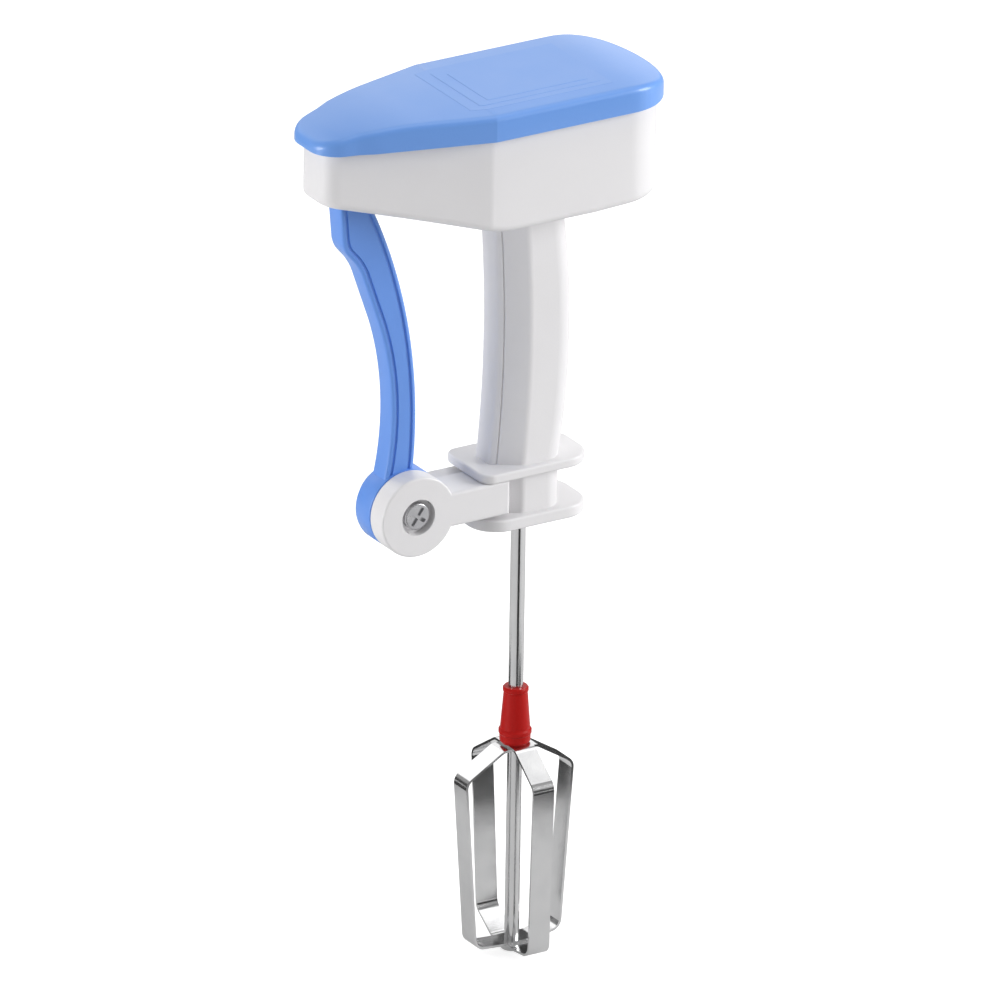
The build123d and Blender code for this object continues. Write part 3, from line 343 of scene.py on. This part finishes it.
link(flow.outputs["Fac"], drift.inputs[0])
link(inside.outputs["Drift"], drift.inputs[1])
tone = add(moulded, "ShaderNodeMix", -200, 300, data_type="RGBA")
link(drift.outputs[0], tone.inputs["Factor"])
link(inside.outputs["Tone"], tone.inputs["A"])
link(inside.outputs["Deep Tone"], tone.inputs["B"])
link(tone.outputs["Result"], outside.inputs["Color"])
rubbed = add(moulded, "ShaderNodeTexNoise", -600, 0)
rubbed.inputs["Scale"].default_value, rubbed.inputs["Detail"].default_value = 90.0, 4.0
link(inside.outputs["Vector"], rubbed.inputs["Vector"])
spread = add(moulded, "ShaderNodeMapRange", -400, 0)
spread.inputs["To Min"].default_value, spread.inputs["To Max"].default_value = -0.06, 0.06
link(rubbed.outputs["Fac"], spread.inputs["Value"])
rough = add(moulded, "ShaderNodeMath", -200, 0, operation="ADD")
link(spread.outputs[0], rough.inputs[0])
link(inside.outputs["Roughness"], rough.inputs[1])
link(rough.outputs[0], outside.inputs["Roughness"])
pores = add(moulded, "ShaderNodeTexNoise", -600, -300)
pores.inputs["Scale"].default_value, pores.inputs["Detail"].default_value = 1400.0, 2.0
link(inside.outputs["Vector"], pores.inputs["Vector"])
skin = add(moulded, "ShaderNodeBump", -200, -300)
skin.inputs["Distance"].default_value = 0.00008
link(inside.outputs["Grain"], skin.inputs["Strength"])
link(pores.outputs["Fac"], skin.inputs["Height"])
link(skin.outputs["Normal"], outside.inputs["Normal"])
print(moulded.name, len(moulded.nodes), "nodes")

# %% [markdown]
# ## Finishes: the plastics
# Each plastic is a Principled shader fed by the group.  The colours that drift reach
# it through the group; coat and shine are the same all over, so they are set on the
# shader itself.  The lid has the most polish, the lever is rubbed dull by fingers.

# %% Mix the plastics
def new_material(name):
    material = bpy.data.materials.new(name)
    material.use_nodes = True
    tree = material.node_tree
    place = add(tree, "ShaderNodeTexCoord", -700)
    return material, tree, tree.nodes["Principled BSDF"], place.outputs["Object"]


def plastic(name, tone_rgb, deep_rgb, roughness, drift_share=0.35, grain=0.25, coat=0.0, shine=0.5):
    material, tree, shader, place = new_material(name)
    skin_node = add(tree, "ShaderNodeGroup", -350, node_tree=moulded)
    tree.links.new(place, skin_node.inputs["Vector"])
    skin_node.inputs["Tone"].default_value = (*tone_rgb, 1)
    skin_node.inputs["Deep Tone"].default_value = (*deep_rgb, 1)
    for key, value in (("Drift", drift_share), ("Roughness", roughness), ("Grain", grain)):
        skin_node.inputs[key].default_value = value
    tree.links.new(skin_node.outputs["Color"], shader.inputs["Base Color"])
    tree.links.new(skin_node.outputs["Roughness"], shader.inputs["Roughness"])
    tree.links.new(skin_node.outputs["Normal"], shader.inputs["Normal"])
    shader.inputs["Specular IOR Level"].default_value = shine
    shader.inputs["Coat Weight"].default_value = coat
    shader.inputs["Coat Roughness"].default_value = 0.12
    return material


white_plastic = plastic("white_plastic", (0.80, 0.79, 0.80), (0.70, 0.69, 0.71), 0.36, coat=0.15)
blue_lid = plastic("blue_lid_plastic", (0.150, 0.338, 0.790), (0.120, 0.295, 0.730), 0.36, coat=0.20)
blue_lever = plastic("blue_lever_plastic", (0.135, 0.310, 0.800), (0.100, 0.260, 0.740), 0.40, coat=0.10)
red_plastic = plastic("red_plastic", (0.430, 0.007, 0.005), (0.340, 0.004, 0.004), 0.36, shine=0.16)
gear_nylon = plastic("gear_nylon", (0.78, 0.76, 0.70), (0.66, 0.63, 0.55), 0.48)
print("plastics:", white_plastic.name, blue_lid.name, blue_lever.name, red_plastic.name, gear_nylon.name)

# %% [markdown]
# ## Finishes: what all metals share
# The shaft and loops are polished stainless steel, drawn through a die and bent: fine
# lines run along the metal, and the polish is not quite even.  Stretching a noise
# along one axis gives the lines, without any image.

# %% The drawn-metal group
drawn = bpy.data.node_groups.new("drawn_metal", "ShaderNodeTree")
group_sockets(
    drawn,
    [("Vector", "NodeSocketVector", (0, 0, 0)), ("Tone", "NodeSocketColor", (1, 1, 1, 1)),
     ("Deep Tone", "NodeSocketColor", (0, 0, 0, 1)), ("Roughness", "NodeSocketFloat", 0.15),
     ("Lines", "NodeSocketFloat", 0.1)],
    [("Color", "NodeSocketColor"), ("Roughness", "NodeSocketFloat"), ("Normal", "NodeSocketVector")],
)
inside, outside = add(drawn, "NodeGroupInput", -1100), add(drawn, "NodeGroupOutput", 500)
link = drawn.links.new
stretch = add(drawn, "ShaderNodeMapping", -850, 0)
stretch.inputs["Scale"].default_value = (1.0, 1.0, 0.03)
link(inside.outputs["Vector"], stretch.inputs["Vector"])
lines = add(drawn, "ShaderNodeTexNoise", -600, 100)
lines.inputs["Scale"].default_value, lines.inputs["Detail"].default_value = 2200.0, 3.0
link(stretch.outputs["Vector"], lines.inputs["Vector"])
cloud = add(drawn, "ShaderNodeTexNoise", -600, 400)
cloud.inputs["Scale"].default_value, cloud.inputs["Detail"].default_value = 120.0, 4.0
link(inside.outputs["Vector"], cloud.inputs["Vector"])
metal_tone = add(drawn, "ShaderNodeMix", -200, 400, data_type="RGBA")
link(cloud.outputs["Fac"], metal_tone.inputs["Factor"])
link(inside.outputs["Tone"], metal_tone.inputs["A"])
link(inside.outputs["Deep Tone"], metal_tone.inputs["B"])
link(metal_tone.outputs["Result"], outside.inputs["Color"])
uneven = add(drawn, "ShaderNodeMapRange", -400, 200)
uneven.inputs["To Min"].default_value, uneven.inputs["To Max"].default_value = -0.05, 0.07
link(cloud.outputs["Fac"], uneven.inputs["Value"])
polish = add(drawn, "ShaderNodeMath", -200, 150, operation="ADD", use_clamp=True)
link(uneven.outputs[0], polish.inputs[0])
link(inside.outputs["Roughness"], polish.inputs[1])
link(polish.outputs[0], outside.inputs["Roughness"])
scored = add(drawn, "ShaderNodeBump", -200, -200)
scored.inputs["Distance"].default_value = 0.00003
link(inside.outputs["Lines"], scored.inputs["Strength"])
link(lines.outputs["Fac"], scored.inputs["Height"])
link(scored.outputs["Normal"], outside.inputs["Normal"])
print(drawn.name, len(drawn.nodes), "nodes")

# %% [markdown]
# ## Finishes: the metals
# Stainless steel, plated screws, spring wire and turned brass use the same group with
# other values.  A metal shows its surroundings, tinted and dimmed by its tone, so a
# duller metal gets a darker tone and a rougher skin.

# %% Mix the metals
def metal(name, tone_rgb, deep_rgb, roughness, line_depth):
    material, tree, shader, place = new_material(name)
    shader.inputs["Metallic"].default_value = 1.0
    node = add(tree, "ShaderNodeGroup", -350, node_tree=drawn)
    tree.links.new(place, node.inputs["Vector"])
    for key, value in (
        ("Tone", (*tone_rgb, 1)), ("Deep Tone", (*deep_rgb, 1)),
        ("Roughness", roughness), ("Lines", line_depth),
    ):
        node.inputs[key].default_value = value
    tree.links.new(node.outputs["Color"], shader.inputs["Base Color"])
    tree.links.new(node.outputs["Roughness"], shader.inputs["Roughness"])
    tree.links.new(node.outputs["Normal"], shader.inputs["Normal"])
    return material


stainless = metal("stainless_steel", (0.728, 0.728, 0.728), (0.601, 0.601, 0.610), 0.16, 0.25)
plated = metal("plated_steel", (0.62, 0.62, 0.63), (0.45, 0.45, 0.47), 0.26, 0.15)
spring_steel = metal("spring_steel", (0.42, 0.42, 0.44), (0.28, 0.28, 0.30), 0.34, 0.20)
turned_brass = metal("turned_brass", (0.78, 0.58, 0.26), (0.60, 0.42, 0.16), 0.28, 0.20)
print("metals:", stainless.name, plated.name, spring_steel.name, turned_brass.name)

# %% [markdown]
# ## The pieces that keep their CAD shape
# The works inside the head, the white shells, the sleeve, the shaft and the loops
# have their right shape in CAD already, so they keep their meshes and only get these
# finishes.

# %% Give the CAD nodes their finishes
CAD_FINISHES = {
    gear_nylon: ("rack", "gear_1", "gear_2", "output_pinion"),
    plated: ("gear_plate", "gear_axle_1", "gear_axle_2", "plate_screws", "case_screws", "bracket_screws",
             "pivot_nut", "pivot_screw", "drive_pin", "shaft_clip", "thrust_collar"),
    turned_brass: ("upper_bush", "lower_bush", "lever_bush"),
    white_plastic: ("gear_case", "handle_shell", "handle_front_strip", "hinge_bracket"),
    red_plastic: ("whisk_coupler",),
    stainless: ("whisk_shaft", "whisk_loop_outer", "whisk_loop_inner", "whisk_end_nut"),
}
for material, names in CAD_FINISHES.items():
    for name in names:
        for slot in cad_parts[name].material_slots:
            slot.material = material
print("dressed", sum(len(names) for names in CAD_FINISHES.values()), "CAD nodes")

# %% [markdown]
# ## The lid
# The lid is a shallow tray turned upside down.  Its top is flat in the middle and
# rolls down towards nose and rear, its edge is rounded, and three very low steps
# follow the outline on the wide part.  Its sizes come first, and the helpers that
# raise, round and cut an outline.

# %% Heights and outlines of the head, in millimetres
RIM_Z, LID_TOP_Z = 84.0, 93.5
CASE_TOP_Z = 88.7
NOSE_X, REAR_X, SHOULDER_X, HEAD_HALF, NOSE_HALF = -90.5, 50.2, -29.0, 28.8, 12.6
ROLLS = ((-54.0, -36.5, 5.6), (24.0, 26.2, 3.8))
LID_WALL, END_WALL, LID_EDGE = 3.0, 1.8, 2.4
HEAD_SLANT = math.tan(math.atan2(HEAD_HALF - NOSE_HALF, SHOULDER_X - NOSE_X) / 2)


def head_plan(bm, inset, z, shoulder_radius=2.5):
    return pear_plan(
        bm, z, (NOSE_X + inset, NOSE_HALF - inset * (1 - HEAD_SLANT)), SHOULDER_X + inset * HEAD_SLANT,
        HEAD_HALF - inset, (REAR_X - inset, 40.0 - inset, 21.0 - inset), (11.0 - inset, shoulder_radius), 1.1,
    )


def roll_down(x):
    """How far the lid's top lies below its flat middle at x."""
    for start, run, drop in ROLLS:
        if (x - start) * run > 0:
            radius = (run * run + drop * drop) / (2 * drop)
            return radius - math.sqrt(radius * radius - min(abs(x - start), abs(run)) ** 2)
    return 0.0


def raise_faces(bm, faces, height):
    """Extrudes an area of faces straight up and returns the new top faces."""
    geom = bmesh.ops.extrude_face_region(bm, geom=faces)["geom"]
    top_verts = [g for g in geom if isinstance(g, bmesh.types.BMVert)]
    bmesh.ops.translate(bm, verts=top_verts, vec=(0, 0, height))
    return [g for g in geom if isinstance(g, bmesh.types.BMFace)]


def rim_of(faces):
    """The edges round the outside of an area of faces."""
    return [e for e in {e for f in faces for e in f.edges} if sum(f in faces for f in e.link_faces) == 1]


def round_rim(bm, faces, radius, segments):
    bmesh.ops.bevel(
        bm, geom=rim_of(faces), offset=radius, offset_type="OFFSET", segments=segments, profile=0.5,
        affect="EDGES", material=-1, clamp_overlap=True,
    )


def slice_along_x(bm, low, high, count):
    """Cuts the whole mesh across its length, so that it can be bent afterwards."""
    normal = Vector((1, 0, 0))
    for step in range(1, count):
        spot = normal * (low + (high - low) * step / count)
        geom = bm.verts[:] + bm.edges[:] + bm.faces[:]
        bmesh.ops.bisect_plane(bm, geom=geom, plane_co=spot, plane_no=normal, dist=1e-5)


print("roll at nose and rear:", round(roll_down(NOSE_X), 2), round(roll_down(REAR_X), 2), "mm")

# %% [markdown]
# The plan is raised and its top edge bevelled.  The underside is inset by the wall
# and pushed up to hollow the tray; the faces that it started from are deleted, or
# they would close it again.  Cuts across the length let the top follow the roll.

# %% Make the lid
bm = bmesh.new()
round_rim(bm, raise_faces(bm, head_plan(bm, 0.0, RIM_Z), LID_TOP_Z - RIM_Z), LID_EDGE, 5)
under = [f for f in bm.faces if f.calc_center_median().z < RIM_Z + 0.01]
skirt = bmesh.ops.inset_region(bm, faces=under, thickness=LID_WALL, use_even_offset=True)["faces"]
inner = [f for f in bm.faces if f.calc_center_median().z < RIM_Z + 0.01 and f not in skirt]
geom = bmesh.ops.extrude_face_region(bm, geom=inner)["geom"]
bmesh.ops.delete(bm, geom=inner, context="FACES")
ceiling = [g for g in geom if isinstance(g, bmesh.types.BMVert)]
bmesh.ops.translate(bm, verts=ceiling, vec=(0, 0, CASE_TOP_Z - RIM_Z))
slice_along_x(bm, NOSE_X, REAR_X, 46)
for v in bm.verts:
    if v.co.z > RIM_Z + 5.0:
        v.co.z -= roll_down(v.co.x)
    elif v.co.z > RIM_Z + 4.0:
        v.co.z = min(v.co.z, LID_TOP_Z - END_WALL - roll_down(v.co.x))
finish_piece(bm, "lid_shell", "housing", blue_lid, replaces=("lid",), sharp=40.0)

# %% [markdown]
# The steps on top are three thin slabs, each a little smaller than the one below.
# Their edges are bevelled so that they catch a soft line of light.

# %% Make the steps on the lid
STEP = 0.07
bm = bmesh.new()
for tier, inset in enumerate((8.0, 11.5, 15.0)):
    slab = bmesh.new()
    top = raise_faces(slab, head_plan(slab, inset, LID_TOP_Z - 0.3), 0.36 + STEP * tier)
    round_rim(slab, top, 0.05, 1)
    for stop_x, side in ((-34.0 + tier * 5.0, -1), (23.0 - tier * 3.0, 1)):
        everything = slab.verts[:] + slab.edges[:] + slab.faces[:]
        cut = bmesh.ops.bisect_plane(
            slab, geom=everything, plane_co=(stop_x, 0, 0), plane_no=(side, 0, 0), clear_outer=True,
        )
        rim = [g for g in cut["geom_cut"] if isinstance(g, bmesh.types.BMEdge)]
        bmesh.ops.contextual_create(slab, geom=rim)
    holder = bpy.data.meshes.new("tier")
    slab.to_mesh(holder)
    slab.free()
    bm.from_mesh(holder)
    bpy.data.meshes.remove(holder)
finish_piece(bm, "lid_steps", "housing", blue_lid, sharp=12.0)

# %% [markdown]
# ## The squeeze lever
# The lever is one moulding: a bowed blade with a groove along its border, a finger stop that
# keeps the hand off the head, and a round eye that turns on the pivot screw.  It is
# drawn upright, with u up the blade and v towards the grip, and then leaned out by
# ten degrees, as it rests.  Its two long sides are arcs, so each is a spun vertex,
# about the centre of the circle that goes through three chosen points.

# %% Stand a drawing on the pivot
PIVOT_X, PIVOT_Z, LEAN = -49.6, -60.0, math.radians(10)
DRIVE_RADIUS = 128.6    # from the pivot to the drive pin
to_pivot = Matrix.Translation((PIVOT_X, 0, PIVOT_Z)) @ Matrix.Rotation(-LEAN, 4, "Y")


def circle_centre(a, b, c):
    """The centre, in the XZ plane, of the circle through three points."""
    normal = (b - a).cross(c - a)
    side_b, side_c = b - a, c - a
    reach = normal.cross(side_b) * side_c.length_squared + side_c.cross(normal) * side_b.length_squared
    return a + reach / (2 * normal.length_squared)


def arc_from(bm, start, through, end, steps):
    """Spins the vertex start through a point to an end, and returns the last vertex."""
    a, b, c = start.co.copy(), Vector((through[1], 0, through[0])), Vector((end[1], 0, end[0]))
    centre = circle_centre(a, b, c)
    angle = (a - centre).angle(c - centre)
    axis = (a - centre).cross(c - centre).normalized()
    last = bmesh.ops.spin(
        bm, geom=[start], cent=centre, axis=axis, angle=angle, steps=steps, dvec=(0, 0, 0),
        use_merge=False, use_duplicate=False,
    )["geom_last"]
    return [g for g in last if isinstance(g, bmesh.types.BMVert)][0]


print("pivot at", PIVOT_X, PIVOT_Z, "mm")

# %% [markdown]
# The outline is closed, filled and given its thickness, and its edges are rounded.
# Four insets on each side cut the groove: across the border, down, along its floor
# and up again.  The tongue and its round boss carry the drive pin, and the eye is
# turned on the lathe with a pocket for the spring.

# %% Draw the blade and make the lever
TOP_U = DRIVE_RADIUS - 4.5
BLADE_HALF, BORDER, GROOVE, GROOVE_DEPTH = 4.5, 1.5, 1.3, 0.6
bm = bmesh.new()
foot = bm.verts.new((-8.2, 0, 9.0))
waist = arc_from(bm, foot, (48.0, 1.9), (72.0, 1.3), 16)
STOP_CORNERS = ((97.5, -3.0), (106.5, -8.4), (TOP_U, -7.0), (TOP_U, 3.9))
upper = [bm.verts.new((v, 0, u)) for u, v in STOP_CORNERS]
for one, other in zip([waist] + upper, upper):
    bm.edges.new((one, other))
heel = arc_from(bm, upper[-1], (65.6, 12.7), (9.0, 4.4), 26)
bm.edges.new((heel, foot))
bmesh.ops.contextual_create(bm, geom=bm.edges[:])
for vert, radius in ((upper[0], 4.0), (upper[1], 3.0)):
    bmesh.ops.bevel(
        bm, geom=[vert], offset=radius, offset_type="OFFSET", segments=8, profile=0.5,
        affect="VERTICES", material=-1,
    )
bmesh.ops.translate(bm, verts=bm.verts[:], vec=(0, BLADE_HALF, 0))
blade = bm.faces[:]
geom = bmesh.ops.extrude_face_region(bm, geom=blade, use_keep_orig=True)["geom"]
far_side = [g for g in geom if isinstance(g, bmesh.types.BMVert)]
bmesh.ops.translate(bm, verts=far_side, vec=(0, -2 * BLADE_HALF, 0))
bmesh.ops.recalc_face_normals(bm, faces=bm.faces[:])
sides = [f for f in bm.faces if abs(f.normal.y) > 0.9]
round_rim(bm, sides, 1.1, 4)
for side in (-1, 1):
    flat = [f for f in bm.faces if f.normal.y * side > 0.99]
    for width, depth in ((BORDER - 1.1, 0.0), (0.3, -GROOVE_DEPTH), (GROOVE - 0.6, 0.0), (0.3, GROOVE_DEPTH)):
        bmesh.ops.inset_region(bm, faces=flat, thickness=width, depth=depth, use_even_offset=True)
tongue = bmesh.ops.create_cube(bm, size=1.0)["verts"]
bmesh.ops.scale(bm, verts=tongue, vec=(9.0, 8.0, 7.0))
bmesh.ops.translate(bm, verts=tongue, vec=(0, 0, TOP_U - 1.2))
lathe(bm, [(2.0, -4.0), (4.3, -4.0), (4.5, -3.8), (4.5, 3.8), (4.3, 4.0), (2.0, 4.0), (2.0, -4.0)],
      (0, 0, DRIVE_RADIUS), "Y", 32)
eye_profile = [
    (4.0, -5.0), (6.0, -5.0), (6.0, 2.5), (10.0, 2.5), (10.0, -5.0), (14.2, -5.0), (14.8, -4.8), (15.0, -4.2),
    (15.0, 4.2), (14.8, 4.8), (14.2, 5.0), (4.0, 5.0), (4.0, -5.0),
]
lathe(bm, eye_profile, (0, 0, 0), "Y", 72)
bmesh.ops.transform(bm, verts=bm.verts[:], matrix=to_pivot)
finish_piece(bm, "lever_moulding", "lever", blue_lever, replaces=("squeeze_lever",))

# %% [markdown]
# ## The return spring
# A torsion spring pushes the lever back out.  It sits in the lever's eye, with one end
# in the bracket and the other in the lever, so it winds up as the lever turns.  A
# coil is a small circle spun for four turns while it moves along the axis, and each
# end is drawn out straight.  The piece is given no body, so it stays where it is
# drawn, while a real spring twists as the lever turns.

# %% Wind the spring
WIRE_R, COIL_R, TURNS, PITCH, STEPS = 0.65, 7.8, 4, 1.45, 36
START_Y, NEAR_TANG, FAR_TANG = -4.25, 3.4, 1.3
bm = bmesh.new()
ring = bmesh.ops.create_circle(bm, segments=10, radius=WIRE_R)["verts"]
bmesh.ops.translate(bm, verts=ring, vec=(COIL_R, 0, 0))
near_rim = bm.edges[:]
coil = bmesh.ops.spin(
    bm, geom=bm.verts[:] + bm.edges[:], cent=(0, 0, 0), axis=(0, 1, 0), angle=TURNS * 2 * math.pi,
    dvec=(0, PITCH / STEPS, 0), steps=TURNS * STEPS, use_merge=False, use_duplicate=False,
)["geom_last"]
far_rim = [g for g in coil if isinstance(g, bmesh.types.BMEdge)]
for rim, reach in ((near_rim, -NEAR_TANG), (far_rim, FAR_TANG)):
    bmesh.ops.rotate(
        bm, verts=list({v for e in rim for v in e.verts}), cent=(COIL_R, rim[0].verts[0].co.y, 0),
        matrix=Matrix.Rotation(math.radians(-90), 3, "X"),
    )
    drawn_out = bmesh.ops.extrude_edge_only(bm, edges=rim)["geom"]
    verts = [g for g in drawn_out if isinstance(g, bmesh.types.BMVert)]
    bmesh.ops.translate(bm, verts=verts, vec=(0, reach, 0))
    bmesh.ops.contextual_create(bm, geom=[g for g in drawn_out if isinstance(g, bmesh.types.BMEdge)])
bmesh.ops.translate(bm, verts=bm.verts[:], vec=(PIVOT_X, START_Y, PIVOT_Z))
spring = finish_piece(
    bm, "spring_coil", None, spring_steel, replaces=("return_spring",), sharp=60.0,
)
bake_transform(spring)
